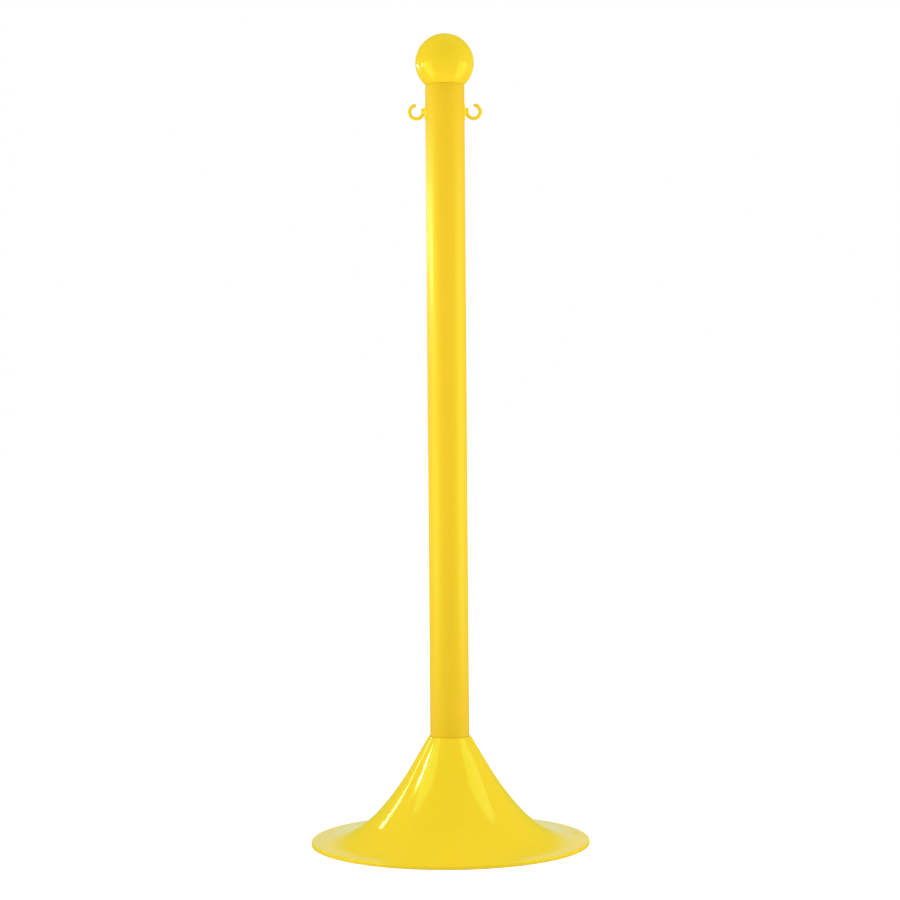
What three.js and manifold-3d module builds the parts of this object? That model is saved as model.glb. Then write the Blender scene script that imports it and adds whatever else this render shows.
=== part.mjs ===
// Plastic chain stanchion: a weighted trumpet base, a round pole, a ball cap and two C hooks.
// Millimetres, +Z up. The origin is on the floor under the middle of the base.
// The hooks point along +X and -X.
import * as THREE from "three";
import { mergeVertices } from "three/addons/utils/BufferGeometryUtils.js";
import Module from "manifold-3d";

const wasm = await Module();
wasm.setup();

// ---------------------------------------------------------------- driving dimensions

const GAP = 0.3; // left between pieces that touch on the real object

const BASE = {
  brimRadius: 177.8, // a 14 inch base
  wall: 3,
  neckTop: 136.8, // the shoulder that the pole stands on
  neckRadius: 26.7,
  neckBevel: 0.5,
  coneAngle: 30.8, // degrees between the wall and the vertical
  coneLength: 45.4,
  flareRadius: 355, // the long shallow curve below the cone
  flareAngle: 42.4,
  skirtRadius: 107.6, // the tighter curve that runs out into the brim
  brimAngle: 88.6,
  lipRadius: 1.4, // the rounded upper edge of the brim
  footWidth: 2.6, // the narrow ring under the brim's edge that stands on the floor
  footHeight: 0.9,
  footBevel: 0.5,
  locatingRib: { inner: 141.2, outer: 143.6, bottom: 0.9, taper: 0.3 },
};

const SPIGOT = {
  radius: 22.2,
  wall: 2.8,
  height: 62,
  bevel: 3,
  web: 6, // the thick ring that joins the spigot to the cone
  webRise: 1.5,
  ribCount: 6,
  ribRadius: 22.7, // over the crush ribs that grip the pole
  ribWidth: 2.4,
};

const PIP = { radius: 3.6, height: 0.7, distance: 164, angle: 11 };

const POLE = {
  outerRadius: 25,
  wall: 2,
  top: 967.5,
  edgeBevel: 0.4,
};

const BALL = {
  radius: 37.3,
  centre: 996,
  wall: 2.6,
  neckRadius: 22.2,
  neckWall: 2.2,
  neckLength: 24,
};

const HOOK = {
  height: 933.6, // above the floor, to the middle of the ring
  reach: 36.6, // from the pole's axis to the middle of the ring
  ringRadius: 8.6,
  wireRadius: 2.2,
  tipAngle: 75, // degrees up from +X, to the middle of the round free tip
  stubAngle: -198, // the same for the stub beside the pole, going round under the ring
  padWidth: 20,
  padHeight: 22,
  padCorner: 5,
  padThickness: 1,
  rootRadius: 4.4,
  holeRadius: 4.1,
  shankRadius: 3.7,
  barbRadius: 4.5,
  shankTip: 18.4,
  slotWidth: 1.8,
};

const PAN = {
  rimRadius: 140.4,
  rimInner: 122,
  lipHeight: 4.4,
  lipWidth: 2.4,
  thickness: 2.4,
  dish: 18, // how far the middle is raised above the floor
  collarInner: 17.5,
  collarOuter: 20.5,
  collarTop: 32,
  ribCount: 12,
  ribInner: 27,
  ribOuter: 106,
  ribWidth: 2,
  ribHeight: 5,
  ribRoot: 0.5, // how far a rib runs into the plate
  ringRadius: 65,
};

const PLUG = {
  threadRadius: 17,
  bore: 14,
  headRadius: 23.5,
  headHeight: 4.6,
  gripLength: 34,
  gripWidth: 5,
  dimpleRadius: 19,
  dimpleDepth: 3,
  threadTop: 29,
};

const GASKET = { inner: 17.5, outer: 22.6, thickness: 1.4 };

const SAND_TOP = 82;

const SIDES = { base: 52, pole: 48, ball: 40, plug: 32, pip: 16, hookWire: 8, hookShank: 16 };
const STEPS = { flare: 5, skirt: 9, lip: 3, ballOuter: 15, ballInner: 8, ring: 26, padCorner: 3 };

// ---------------------------------------------------------------- materials

function plastic(color, roughness) {
  return new THREE.MeshStandardMaterial({ color, roughness, metalness: 0 });
}

const MATERIALS = {
  glossYellow: plastic(0xf3d825, 0.16),
  satinYellow: plastic(0xf2cf30, 0.34),
  hookYellow: plastic(0xf0cf30, 0.3),
  panBlack: plastic(0x222223, 0.55),
  plugBlack: plastic(0x1b1b1c, 0.45),
  rubber: plastic(0x161616, 0.85),
  sand: plastic(0xc8ae80, 0.95),
};

// ---------------------------------------------------------------- solids

// A closed geometry as a manifold-3d solid.
function solid(geometry) {
  const bare = geometry.clone();
  bare.deleteAttribute("normal");
  bare.deleteAttribute("uv");
  const merged = mergeVertices(bare, 1e-3);
  const triVerts = new Uint32Array(merged.index.array);
  const vertProperties = merged.attributes.position.array;
  return new wasm.Manifold(new wasm.Mesh({ numProp: 3, vertProperties, triVerts }));
}

// A manifold-3d solid as a geometry.
function geometryOf(made) {
  const mesh = made.getMesh();
  const geometry = new THREE.BufferGeometry();
  geometry.setAttribute("position", new THREE.BufferAttribute(mesh.vertProperties, 3));
  geometry.setIndex(new THREE.BufferAttribute(mesh.triVerts, 1));
  geometry.computeVertexNormals();
  return geometry;
}

// A profile of [radius, height] points turned about Z. It runs up the outside first.
function turned(profile, sides) {
  const points = profile.map(([radius, height]) => new THREE.Vector2(radius, height));
  return new THREE.LatheGeometry(points, sides).rotateX(Math.PI / 2);
}

function closed(profile) {
  return [...profile, profile[0]];
}

function radians(degrees) {
  return THREE.MathUtils.degToRad(degrees);
}

// `count` upright ribs on the outside of a round neck.
function crushRibs(count, rootRadius, tipRadius, width, bottom, top) {
  const ribs = [];
  for (let i = 0; i < count; i += 1) {
    const rib = new THREE.BoxGeometry(tipRadius - rootRadius, width, top - bottom);
    rib.translate((tipRadius + rootRadius) / 2, 0, (top + bottom) / 2);
    rib.rotateZ(((i + 0.5) / count) * 2 * Math.PI);
    ribs.push(solid(rib));
  }
  return ribs;
}

function joined(first, others) {
  return others.reduce((sum, piece) => sum.add(piece), first);
}

// ---------------------------------------------------------------- base

// The trumpet's outline from the neck down to the brim, moved inwards by `inset`.
// Each stretch keeps the wall's direction, so an inset outline is parallel to the outer one.
function flareOutline(inset) {
  const cone = radians(BASE.coneAngle);
  const points = [];
  let radius = BASE.neckRadius;
  let height = BASE.neckTop - BASE.neckBevel;
  function mark(angle) {
    points.push([radius - inset * Math.cos(angle), height - inset * Math.sin(angle)]);
  }
  function bend(bendRadius, from, to, steps) {
    const startRadius = radius;
    const startHeight = height;
    for (let i = 1; i <= steps; i += 1) {
      const angle = from + ((to - from) * i) / steps;
      radius = startRadius + bendRadius * (Math.cos(from) - Math.cos(angle));
      height = startHeight - bendRadius * (Math.sin(angle) - Math.sin(from));
      mark(angle);
    }
  }
  mark(cone);
  radius += BASE.coneLength * Math.sin(cone);
  height -= BASE.coneLength * Math.cos(cone);
  mark(cone);
  bend(BASE.flareRadius, cone, radians(BASE.flareAngle), STEPS.flare);
  bend(BASE.skirtRadius, radians(BASE.flareAngle), radians(BASE.brimAngle), STEPS.skirt);
  return points;
}

// The top of the brim at a given radius, past the last bend.
function brimTop(radius) {
  const [lastRadius, lastHeight] = flareOutline(0).at(-1);
  return lastHeight - (radius - lastRadius) / Math.tan(radians(BASE.brimAngle));
}

// The brim's rounded edge and the narrow foot ring under it.
function brimEdge() {
  const lip = BASE.lipRadius;
  const top = brimTop(BASE.brimRadius - lip);
  const points = [];
  for (let i = 0; i <= STEPS.lip; i += 1) {
    const angle = radians(90 - (90 * i) / STEPS.lip);
    const radius = BASE.brimRadius - lip + lip * Math.cos(angle);
    points.push([radius, top - lip + lip * Math.sin(angle)]);
  }
  points.push([BASE.brimRadius, BASE.footBevel]);
  points.push([BASE.brimRadius - BASE.footBevel, 0]);
  points.push([BASE.brimRadius - BASE.footWidth, 0]);
  points.push([BASE.brimRadius - BASE.footWidth - BASE.footBevel, BASE.footHeight]);
  return points;
}

// The rib under the base that the floor pan's rim sits inside.
function withLocatingRib(inner) {
  const rib = BASE.locatingRib;
  const before = inner.filter(([radius]) => radius > rib.outer + 1);
  const after = inner.filter(([radius]) => radius < rib.inner - 1);
  const under = heightAt(inner, (rib.inner + rib.outer) / 2);
  const outline = [
    [rib.outer, under - rib.taper],
    [rib.outer - rib.taper, rib.bottom],
    [rib.inner + rib.taper, rib.bottom],
    [rib.inner, under + rib.taper],
  ];
  return [...before, ...outline, ...after];
}

// The height of an outline at a radius, between its two nearest points.
function heightAt(outline, radius) {
  const index = outline.findIndex((point, i) => {
    const next = outline[i + 1];
    return next && (point[0] - radius) * (next[0] - radius) <= 0;
  });
  const [a, b] = [outline[index], outline[index + 1]];
  const share = (radius - a[0]) / (b[0] - a[0]);
  return a[1] + share * (b[1] - a[1]);
}

function baseShell() {
  const top = BASE.neckTop + SPIGOT.height;
  const bore = SPIGOT.radius - SPIGOT.wall;
  const inner = flareOutline(BASE.wall).reverse();
  const [innerNeck, innerNeckHeight] = inner.pop();
  const webHeight = BASE.neckTop - SPIGOT.web;
  const webRadius = innerNeck + (innerNeckHeight - webHeight) * Math.tan(radians(BASE.coneAngle));
  const profile = [
    [0, top],
    [SPIGOT.radius - SPIGOT.bevel, top],
    [SPIGOT.radius, top - SPIGOT.bevel],
    [SPIGOT.radius, BASE.neckTop],
    [BASE.neckRadius - BASE.neckBevel, BASE.neckTop],
    ...flareOutline(0),
    ...brimEdge(),
    ...withLocatingRib(inner),
    [webRadius, webHeight],
    [bore, webHeight + SPIGOT.webRise],
    [bore, top - SPIGOT.wall],
    [0, top - SPIGOT.wall],
  ].reverse();
  const shell = solid(turned(profile, SIDES.base));
  const ribs = crushRibs(
    SPIGOT.ribCount,
    SPIGOT.radius - 1,
    SPIGOT.ribRadius,
    SPIGOT.ribWidth,
    BASE.neckTop - 1,
    top - SPIGOT.bevel - 2,
  );
  return geometryOf(joined(shell, [...ribs, brimPip()]));
}

// A low round ejector mark on the brim, a little behind the right-hand side.
function brimPip() {
  const bottom = brimTop(PIP.distance) - 1;
  const top = brimTop(PIP.distance) + PIP.height;
  const profile = [
    [0, bottom],
    [PIP.radius, bottom],
    [PIP.radius, top - 0.5],
    [PIP.radius - 0.9, top],
    [0, top],
  ];
  const pip = turned(profile, SIDES.pip);
  pip.translate(PIP.distance, 0, 0);
  pip.rotateZ(radians(PIP.angle));
  return solid(pip);
}

// ---------------------------------------------------------------- ballast and its closing parts

function floorPan() {
  const rimTop = PAN.thickness;
  const flatRadius = PAN.rimInner - PAN.dish;
  const slant = PAN.thickness * Math.tan(radians(22.5));
  const profile = closed([
    [PAN.collarInner, PAN.dish],
    [flatRadius, PAN.dish],
    [PAN.rimInner, 0],
    [PAN.rimRadius - 0.6, 0],
    [PAN.rimRadius, 0.6],
    [PAN.rimRadius, PAN.lipHeight],
    [PAN.rimRadius - PAN.lipWidth, PAN.lipHeight],
    [PAN.rimRadius - PAN.lipWidth, rimTop],
    [PAN.rimInner + slant, rimTop],
    [flatRadius + slant, PAN.dish + PAN.thickness],
    [PAN.collarOuter, PAN.dish + PAN.thickness],
    [PAN.collarOuter, PAN.collarTop],
    [PAN.collarInner, PAN.collarTop],
  ]);
  const plate = solid(turned(profile, SIDES.base));
  return geometryOf(joined(plate, [...panRibs(), panRingRib()]));
}

// Radial stiffening ribs under the raised middle of the pan.
function panRibs() {
  const ribs = [];
  const length = PAN.ribOuter - PAN.ribInner;
  for (let i = 0; i < PAN.ribCount; i += 1) {
    const rib = new THREE.BoxGeometry(length, PAN.ribWidth, PAN.ribHeight + PAN.ribRoot);
    rib.translate(PAN.ribInner + length / 2, 0, PAN.dish + (PAN.ribRoot - PAN.ribHeight) / 2);
    rib.rotateZ(((i + 0.5) / PAN.ribCount) * 2 * Math.PI);
    ribs.push(solid(rib));
  }
  return ribs;
}

// A ring that ties the radial ribs together halfway out.
function panRingRib() {
  const inner = PAN.ringRadius - PAN.ribWidth / 2;
  const outer = PAN.ringRadius + PAN.ribWidth / 2;
  const bottom = PAN.dish - PAN.ribHeight;
  const top = PAN.dish + PAN.ribRoot;
  const profile = closed([
    [inner, bottom],
    [outer, bottom],
    [outer, top],
    [inner, top],
  ]);
  return solid(turned(profile, SIDES.base));
}

const GASKET_TOP = PAN.dish - GAP;
const HEAD_TOP = GASKET_TOP - GASKET.thickness - GAP;

function fillerPlug() {
  const headBottom = HEAD_TOP - PLUG.headHeight;
  const profile = [
    [0, headBottom + PLUG.dimpleDepth],
    [PLUG.dimpleRadius - 2, headBottom + PLUG.dimpleDepth],
    [PLUG.dimpleRadius, headBottom],
    [PLUG.headRadius - 0.8, headBottom],
    [PLUG.headRadius, headBottom + 0.8],
    [PLUG.headRadius, HEAD_TOP],
    [PLUG.threadRadius, HEAD_TOP],
    [PLUG.threadRadius, PLUG.threadTop - 1],
    [PLUG.threadRadius - 1, PLUG.threadTop],
    [PLUG.bore, PLUG.threadTop],
    [PLUG.bore, HEAD_TOP + 1],
    [0, HEAD_TOP + 1],
  ];
  const grip = new THREE.BoxGeometry(PLUG.gripLength, PLUG.gripWidth, PLUG.dimpleDepth + 0.5);
  grip.translate(0, 0, headBottom + (PLUG.dimpleDepth + 0.5) / 2);
  return geometryOf(solid(turned(profile, SIDES.plug)).add(solid(grip)));
}

function fillerGasket() {
  const bottom = GASKET_TOP - GASKET.thickness;
  const profile = closed([
    [GASKET.inner, bottom],
    [GASKET.outer, bottom],
    [GASKET.outer, GASKET_TOP],
    [GASKET.inner, GASKET_TOP],
  ]);
  return turned(profile, SIDES.plug);
}

function sandBallast() {
  const clear = GAP + 0.1;
  const side = flareOutline(BASE.wall + clear).filter(([radius]) => radius < PAN.rimInner);
  const topRadius = radiusAt(side, SAND_TOP);
  const lower = side.filter(([, height]) => height < SAND_TOP);
  const floorTop = PAN.dish + PAN.thickness + clear;
  const slant = (PAN.thickness + clear) * Math.tan(radians(22.5));
  const flatRadius = PAN.rimInner - PAN.dish + slant;
  const [edgeRadius] = lower.at(-1);
  const edgeHeight = floorTop - (edgeRadius - flatRadius);
  const profile = [
    [0, PAN.collarTop + clear],
    [PAN.collarOuter + clear, PAN.collarTop + clear],
    [PAN.collarOuter + clear, floorTop],
    [flatRadius, floorTop],
    [edgeRadius, edgeHeight],
    ...lower.reverse(),
    [topRadius, SAND_TOP],
    [0, SAND_TOP],
  ];
  return turned(profile, SIDES.base);
}

// The radius of an outline at a height, between its two nearest points.
function radiusAt(outline, height) {
  return heightAt(
    outline.map(([radius, z]) => [z, radius]),
    height,
  );
}

// ---------------------------------------------------------------- pole

const POLE_BOTTOM = BASE.neckTop + GAP;

function poleTube() {
  const outer = POLE.outerRadius;
  const bore = outer - POLE.wall;
  const bevel = POLE.edgeBevel;
  const profile = closed([
    [bore, POLE_BOTTOM],
    [outer - bevel, POLE_BOTTOM],
    [outer, POLE_BOTTOM + bevel],
    [outer, POLE.top - bevel],
    [outer - bevel, POLE.top],
    [bore, POLE.top],
  ]);
  const drill = new THREE.CylinderGeometry(
    HOOK.holeRadius,
    HOOK.holeRadius,
    2 * outer + 4,
    SIDES.hookShank,
  );
  drill.rotateZ(Math.PI / 2);
  drill.translate(0, 0, HOOK.height);
  return geometryOf(solid(turned(profile, SIDES.pole)).subtract(solid(drill)));
}

// ---------------------------------------------------------------- ball cap

// Points on the ball's section from `from` to `to` degrees above its equator.
function ballArc(radius, from, to, steps) {
  const points = [];
  for (let i = 0; i <= steps; i += 1) {
    const angle = radians(from + ((to - from) * i) / steps);
    points.push([radius * Math.cos(angle), BALL.centre + radius * Math.sin(angle)]);
  }
  return points;
}

function ballCap() {
  const seat = POLE.top + GAP;
  const neckBottom = seat - BALL.neckLength;
  const bore = BALL.neckRadius - BALL.neckWall;
  const innerRadius = BALL.radius - BALL.wall;
  const outerStart = THREE.MathUtils.radToDeg(Math.asin((seat - BALL.centre) / BALL.radius));
  const innerStart = THREE.MathUtils.radToDeg(-Math.acos(bore / innerRadius));
  const outerArc = ballArc(BALL.radius, outerStart, 90, STEPS.ballOuter);
  const innerArc = ballArc(innerRadius, 90, innerStart, STEPS.ballInner);
  outerArc.at(-1)[0] = 0;
  innerArc[0][0] = 0;
  const profile = [
    ...innerArc,
    [bore, neckBottom],
    [BALL.neckRadius - 0.8, neckBottom],
    [BALL.neckRadius, neckBottom + 0.8],
    [BALL.neckRadius, seat],
    ...outerArc,
  ];
  const shell = solid(turned(profile, SIDES.ball));
  const ribs = crushRibs(
    SPIGOT.ribCount,
    BALL.neckRadius - 1,
    SPIGOT.ribRadius,
    SPIGOT.ribWidth,
    neckBottom + 3,
    seat + 0.5,
  );
  return geometryOf(joined(shell, ribs));
}

// ---------------------------------------------------------------- chain hooks

// The hook's ring, as a path in the XZ plane about the ring's middle.
class RingPath extends THREE.Curve {
  getPoint(t, target = new THREE.Vector3()) {
    const angle = radians(THREE.MathUtils.lerp(HOOK.tipAngle, HOOK.stubAngle, t));
    return target.set(HOOK.ringRadius * Math.cos(angle), 0, HOOK.ringRadius * Math.sin(angle));
  }
}

function circleShape(radius, sides) {
  const points = [];
  for (let i = 0; i < sides; i += 1) {
    const angle = (i / sides) * 2 * Math.PI;
    points.push(new THREE.Vector2(radius * Math.cos(angle), radius * Math.sin(angle)));
  }
  return new THREE.Shape(points);
}

function hookRing() {
  const path = new RingPath();
  const wire = new THREE.ExtrudeGeometry(circleShape(HOOK.wireRadius, SIDES.hookWire), {
    steps: STEPS.ring,
    extrudePath: path,
  });
  const tips = [0, 1].map((t) => {
    const tip = new THREE.SphereGeometry(HOOK.wireRadius, SIDES.hookWire, SIDES.hookWire);
    const { x, z } = path.getPoint(t);
    return solid(tip.translate(x, 0, z));
  });
  return joined(solid(wire), tips).translate([HOOK.reach, 0, HOOK.height]);
}

// The saddle that bears on the pole: a rounded plate bent to the pole's curve.
function hookPad() {
  const w = HOOK.padWidth / 2;
  const h = HOOK.padHeight / 2;
  const r = HOOK.padCorner;
  const plate = new THREE.Shape();
  plate.moveTo(-w + r, -h);
  plate.lineTo(w - r, -h);
  plate.absarc(w - r, -h + r, r, -Math.PI / 2, 0, false);
  plate.absarc(w - r, h - r, r, 0, Math.PI / 2, false);
  plate.absarc(-w + r, h - r, r, Math.PI / 2, Math.PI, false);
  plate.absarc(-w + r, -h + r, r, Math.PI, 1.5 * Math.PI, false);
  const block = new THREE.ExtrudeGeometry(plate, {
    depth: 12,
    bevelEnabled: false,
    curveSegments: STEPS.padCorner,
  });
  block.rotateX(Math.PI / 2);
  block.rotateZ(Math.PI / 2);
  block.translate(POLE.outerRadius - 6, 0, HOOK.height);
  const inner = POLE.outerRadius + GAP;
  const outer = inner + HOOK.padThickness;
  const sleeve = closed([
    [inner, HOOK.height - h - 2],
    [outer, HOOK.height - h - 2],
    [outer, HOOK.height + h + 2],
    [inner, HOOK.height + h + 2],
  ]);
  return solid(block).intersect(solid(turned(sleeve, SIDES.pole)));
}

// The split shank that snaps through the pole's wall, with a root that blends into the ring.
function hookShank() {
  const face = POLE.outerRadius + GAP;
  const barb = POLE.outerRadius - POLE.wall - 0.8;
  const profile = [
    [0, HOOK.shankTip],
    [HOOK.shankRadius - 1, HOOK.shankTip],
    [HOOK.barbRadius, barb - 1],
    [HOOK.barbRadius, barb],
    [HOOK.shankRadius, barb + 0.2],
    [HOOK.shankRadius, face + 0.6],
    [HOOK.rootRadius, face + 0.8],
    [HOOK.rootRadius, face + HOOK.padThickness + 0.3],
    [HOOK.wireRadius, face + HOOK.padThickness + 1.6],
    [0, face + HOOK.padThickness + 1.6],
  ];
  const shank = turned(profile, SIDES.hookShank);
  shank.rotateY(Math.PI / 2);
  shank.translate(0, 0, HOOK.height);
  const slot = new THREE.BoxGeometry(face - 1.5 - HOOK.shankTip + 2, HOOK.slotWidth, 12);
  slot.translate((face - 1.5 + HOOK.shankTip - 2) / 2, 0, HOOK.height);
  return solid(shank).subtract(solid(slot));
}

function chainHook() {
  return geometryOf(joined(hookPad(), [hookShank(), hookRing()]));
}

// ---------------------------------------------------------------- assembly

function part(name, geometry, material) {
  const mesh = new THREE.Mesh(geometry, material);
  mesh.name = name;
  return mesh;
}

const base = new THREE.Group();
base.add(part("base_shell", baseShell(), MATERIALS.glossYellow));
base.add(part("base_floor_pan", floorPan(), MATERIALS.panBlack));
base.add(part("sand_ballast", sandBallast(), MATERIALS.sand));

const filler = new THREE.Group();
filler.add(part("filler_plug", fillerPlug(), MATERIALS.plugBlack));
filler.add(part("filler_gasket", fillerGasket(), MATERIALS.rubber));
base.add(filler);

const pole = new THREE.Group();
pole.add(part("pole_tube", poleTube(), MATERIALS.satinYellow));
pole.add(part("ball_cap", ballCap(), MATERIALS.glossYellow));

const rightHook = part("chain_hook_right", chainHook(), MATERIALS.hookYellow);
const leftHook = part("chain_hook_left", chainHook(), MATERIALS.hookYellow);
leftHook.rotation.z = Math.PI;
pole.add(rightHook, leftHook);

const stanchion = new THREE.Group();
stanchion.add(base, pole);

export default stanchion;
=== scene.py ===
"""Looks for the plastic chain stanchion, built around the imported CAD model. Metres, +Z up."""
import math

import bmesh
import bpy
from mathutils import Matrix, Quaternion, Vector, noise


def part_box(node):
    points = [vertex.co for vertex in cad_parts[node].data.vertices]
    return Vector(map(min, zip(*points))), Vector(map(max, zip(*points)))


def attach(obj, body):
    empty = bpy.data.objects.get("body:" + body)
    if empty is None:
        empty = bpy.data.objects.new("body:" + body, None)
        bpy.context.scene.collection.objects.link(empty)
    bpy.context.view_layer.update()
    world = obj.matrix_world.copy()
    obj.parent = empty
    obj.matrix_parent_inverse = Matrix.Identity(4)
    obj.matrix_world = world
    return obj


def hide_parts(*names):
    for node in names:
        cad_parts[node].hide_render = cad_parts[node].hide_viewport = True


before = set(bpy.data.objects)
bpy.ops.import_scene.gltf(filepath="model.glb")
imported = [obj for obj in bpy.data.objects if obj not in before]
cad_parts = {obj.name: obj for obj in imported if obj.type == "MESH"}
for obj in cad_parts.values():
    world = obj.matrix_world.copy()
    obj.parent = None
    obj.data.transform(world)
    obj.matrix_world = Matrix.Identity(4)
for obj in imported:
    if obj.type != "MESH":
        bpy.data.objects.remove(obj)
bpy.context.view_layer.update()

MM = 0.001

# ------------------------------------------------------------------ sizes, from the CAD boxes

base_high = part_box("base_shell")[1]
pole_low, pole_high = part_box("pole_tube")
ball_low, ball_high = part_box("ball_cap")
hook_low, hook_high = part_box("chain_hook_right")
pan_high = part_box("base_floor_pan")[1]
plug_low, plug_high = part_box("filler_plug")
gasket_low, gasket_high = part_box("filler_gasket")
sand_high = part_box("sand_ballast")[1]

BRIM_RADIUS = base_high.x
SPIGOT_TOP = base_high.z
SPIGOT_RADIUS = 22.2 * MM
SPIGOT_WALL = 2.8 * MM
CRUSH_RIB_RADIUS = 22.7 * MM
SHOULDER = pole_low.z - 0.3 * MM
NECK_RADIUS = 26.7 * MM
NECK_BEVEL = 0.5 * MM
WALL = 3 * MM
CONE_ANGLE = math.radians(30.8)  # between the wall and the vertical
CONE_LENGTH = 45.4 * MM
FLARE_RADIUS = 355 * MM
FLARE_ANGLE = math.radians(42.4)
SKIRT_RADIUS = 107.6 * MM
BRIM_ANGLE = math.radians(88.6)
FOOT_WIDTH = 2.6 * MM
FOOT_HEIGHT = 0.9 * MM
LOCATING_RIB = (141.2 * MM, 143.6 * MM)
RIB_WIDTH = 2.4 * MM

PIP_DISTANCE = 164 * MM
PIP_ANGLE = math.radians(11)
PIP_RADIUS = 3.6 * MM
PIP_HEIGHT = 0.7 * MM

POLE_RADIUS = pole_high.x
POLE_BORE = POLE_RADIUS - 2 * MM
POLE_TOP = pole_high.z

BALL_RADIUS = 37.3 * MM
BALL_CENTRE = ball_high.z - BALL_RADIUS
BALL_WALL = 2.6 * MM
BALL_NECK_RADIUS = 22.2 * MM
BALL_NECK_BORE = 20 * MM

HOOK_HEIGHT = (hook_low.z + hook_high.z) / 2
RING_RADIUS = 8.6 * MM
WIRE_RADIUS = 2.2 * MM
HOOK_REACH = hook_high.x - RING_RADIUS - WIRE_RADIUS
TIP_ANGLE = math.radians(75)
STUB_ANGLE = math.radians(-198)
PAD_WIDTH = 20 * MM
PAD_HEIGHT = 22 * MM
PAD_CORNER = 5 * MM
PAD_EDGE = 0.4 * MM
PAD_CROWN = 0.9 * MM
SHANK_RADIUS = 3.7 * MM
BARB_RADIUS = 4.5 * MM
HOLE_RADIUS = 4.1 * MM

PAN_RIM = pan_high.x
PAN_RIM_INNER = 122 * MM
PAN_THICKNESS = 2.4 * MM
PAN_LIP = 4.4 * MM
PAN_DISH = 18 * MM
PAN_MITRE = math.tan(math.radians(22.5))  # half the slope of the pan's 45 degree wall
PAN_COLLAR = (17.5 * MM, 20.5 * MM)
PAN_RIBS = 12
PAN_RIB_DEPTH = 5 * MM
PAN_RIB_SPAN = (27 * MM, 106 * MM)
PAN_RING = (64 * MM, 66 * MM)

PLUG_RADIUS = plug_high.x
PLUG_THREAD = 17 * MM
PLUG_BORE = 14 * MM
PLUG_DIMPLE = 3 * MM
PLUG_GRIP = (34 * MM, 5 * MM, 3.5 * MM)
THREAD_PITCH = 4 * MM
GASKET_BORE = 17.5 * MM
SAND_CLEARANCE = 0.4 * MM

FLOOR = -0.2 * MM  # just under the feet, so that no face lies in the floor's plane
FILL_AROUND = 0.555  # strength of the surround near the floor, against 1 for full white
FILL_ABOVE = 1.05
BACK_GLOSS = (0.64, 0.77, 0.62)  # what gloss sees low behind the object
LEMON_GLOSS = (0.50, 0.58, 0.08)  # and what it sees elsewhere

LENS = 90.1  # millimetres, on a frame 36 mm wide
FRAME_WIDTH = 36
CAMERA_PLACE = (0.00315, -2.8787, 0.5443)
CAMERA_DROP = 0.833  # degrees below the horizontal
CAMERA_ROLL = -0.449  # degrees


# ------------------------------------------------------------------ mesh helpers


def filleted(points, closed=False, steps=5):
    """Points (radius, height) with a third value, a fillet radius, where a corner is rounded."""
    out = []
    count = len(points)
    for i, point in enumerate(points):
        fillet = point[2] if len(point) > 2 else 0
        here = Vector(point[:2])
        inside = closed or 0 < i < count - 1
        if not fillet or not inside:
            out.append(tuple(here))
            continue
        before = (Vector(points[i - 1][:2]) - here).normalized()
        after = (Vector(points[(i + 1) % count][:2]) - here).normalized()
        half = before.angle(after) / 2
        centre = here + (before + after).normalized() * (fillet / math.sin(half))
        start = here + before * (fillet / math.tan(half)) - centre
        end = here + after * (fillet / math.tan(half)) - centre
        turn = start.angle_signed(end)
        for k in range(steps + 1):
            angle = -turn * k / steps
            cos, sin = math.cos(angle), math.sin(angle)
            out.append((
                centre.x + start.x * cos - start.y * sin,
                centre.y + start.x * sin + start.y * cos,
            ))
    return out


def new_object(name, mesh):
    piece = bpy.data.objects.new(name, mesh)
    bpy.context.scene.collection.objects.link(piece)
    return piece


def mesh_of(name, vertices, faces):
    """A mesh with doubled vertices merged and its faces turned outwards."""
    mesh = bpy.data.meshes.new(name)
    mesh.from_pydata(vertices, [], faces)
    mesh.validate()
    shaper = bmesh.new()
    shaper.from_mesh(mesh)
    bmesh.ops.remove_doubles(shaper, verts=shaper.verts, dist=1e-7)
    bmesh.ops.recalc_face_normals(shaper, faces=shaper.faces)
    shaper.to_mesh(mesh)
    shaper.free()
    return mesh


def lathe(name, profile, segments, closed=False):
    """Turns a profile of (radius, height) points about Z. An open profile starts and ends on the axis."""
    vertices = []
    rings = []
    for radius, height in profile:
        if radius < 1e-9:
            rings.append([len(vertices)] * segments)
            vertices.append((0, 0, height))
            continue
        rings.append(list(range(len(vertices), len(vertices) + segments)))
        for k in range(segments):
            angle = 2 * math.pi * k / segments
            vertices.append((radius * math.cos(angle), radius * math.sin(angle), height))
    faces = []
    pairs = list(zip(rings[:-1], rings[1:]))
    if closed:
        pairs.append((rings[-1], rings[0]))
    for low, high in pairs:
        for k in range(segments):
            n = (k + 1) % segments
            corners = []
            for corner in (low[k], low[n], high[n], high[k]):
                if corner not in corners:
                    corners.append(corner)
            if len(corners) > 2:
                faces.append(corners)
    return new_object(name, mesh_of(name, vertices, faces))


def block(name, size, centre, angle=0.0):
    """A box of that size and centre, then turned about Z. It is only used to cut or to add ribs."""
    x, y, z = (length / 2 for length in size)
    corners = [(i, j, k) for i in (-x, x) for j in (-y, y) for k in (-z, z)]
    turn = Matrix.Rotation(angle, 3, "Z")
    vertices = [turn @ (Vector(corner) + Vector(centre)) for corner in corners]
    faces = [(0, 1, 3, 2), (4, 6, 7, 5), (0, 4, 5, 1), (2, 3, 7, 6), (0, 2, 6, 4), (1, 5, 7, 3)]
    return new_object(name, mesh_of(name, vertices, faces))


def bake_modifiers(piece):
    """Replaces a piece's mesh by what its modifiers make of it."""
    graph = bpy.context.evaluated_depsgraph_get()
    mesh = bpy.data.meshes.new_from_object(piece.evaluated_get(graph))
    piece.modifiers.clear()
    old = piece.data
    piece.data = mesh
    bpy.data.meshes.remove(old)


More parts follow.
